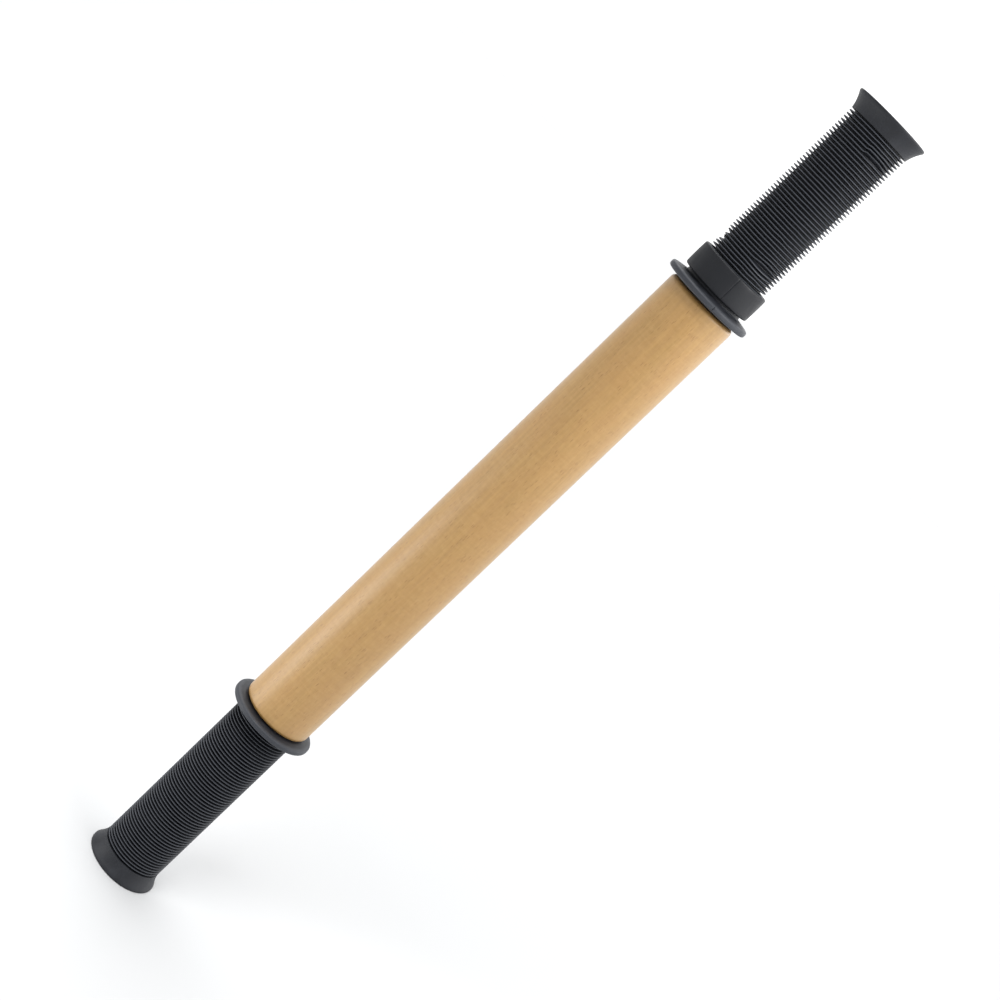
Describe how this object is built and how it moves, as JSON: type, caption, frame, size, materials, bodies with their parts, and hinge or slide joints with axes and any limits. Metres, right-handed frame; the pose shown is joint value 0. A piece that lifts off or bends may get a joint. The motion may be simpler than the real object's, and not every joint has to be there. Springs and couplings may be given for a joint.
{
  "type": "hand-held massage roller stick",
  "caption": "Turned beech barrel that spins on sealed ball bearings between finned black rubber bicycle grips.",
  "frame": {"origin": "centre of the lower grip's end face, on the axle's centre line", "axes": "+Z along the axle from the plain grip to the grip with the band; X and Y across it"},
  "size_m": [0.0498, 0.0498, 0.54],
  "materials": {
    "beech": "satin lacquer",
    "grip_rubber": "moulded, slightly satin",
    "band_rubber": "moulded, slightly satin",
    "seal_rubber": "matt",
    "plug_plastic": "matt black",
    "core_plastic": "grey nylon",
    "cage_plastic": "natural nylon",
    "rod_aluminium": "drawn",
    "spacer_aluminium": "turned",
    "zinc_steel": "zinc plated",
    "bearing_steel": "ground",
    "polished_balls": "polished"
  },
  "bodies": {
    "axle": {"axle_rod": "rod_aluminium", "distance_tube": "spacer_aluminium", "grip_band": "band_rubber", "lower_grip": "grip_rubber", "lower_end_plug": "plug_plastic", "lower_handle_core": "core_plastic", "lower_washer": "zinc_steel", "lower_lock_nut": "zinc_steel", "lower_spacer": "spacer_aluminium", "lower_bearing_inner_ring": "bearing_steel", "upper_grip": "grip_rubber", "upper_end_plug": "plug_plastic", "upper_handle_core": "core_plastic", "upper_washer": "zinc_steel", "upper_lock_nut": "zinc_steel", "upper_spacer": "spacer_aluminium", "upper_bearing_inner_ring": "bearing_steel"},
    "barrel": {"roller_barrel": "beech", "lower_bearing_outer_ring": "bearing_steel", "lower_bearing_outer_seal": "seal_rubber", "lower_bearing_inner_seal": "seal_rubber", "upper_bearing_outer_ring": "bearing_steel", "upper_bearing_outer_seal": "seal_rubber", "upper_bearing_inner_seal": "seal_rubber"},
    "lower_ball_set": {"lower_bearing_balls": "polished_balls", "lower_bearing_cage": "cage_plastic"},
    "upper_ball_set": {"upper_bearing_balls": "polished_balls", "upper_bearing_cage": "cage_plastic"}
  },
  "joints": [
    {"name": "barrel_spin", "type": "hinge", "parent": "axle", "child": "barrel", "pos_m": [0, 0, 0.27], "axis": [0, 0, 1], "continuous": true},
    {"name": "lower_ball_set_spin", "type": "hinge", "parent": "axle", "child": "lower_ball_set", "pos_m": [0, 0, 0.1247], "axis": [0, 0, 1], "continuous": true},
    {"name": "upper_ball_set_spin", "type": "hinge", "parent": "axle", "child": "upper_ball_set", "pos_m": [0, 0, 0.4153], "axis": [0, 0, 1], "continuous": true}
  ],
  "couplings": [
    {"joint": "lower_ball_set_spin", "follows": "barrel_spin", "ratio": 0.619},
    {"joint": "upper_ball_set_spin", "follows": "barrel_spin", "ratio": 0.619}
  ]
}
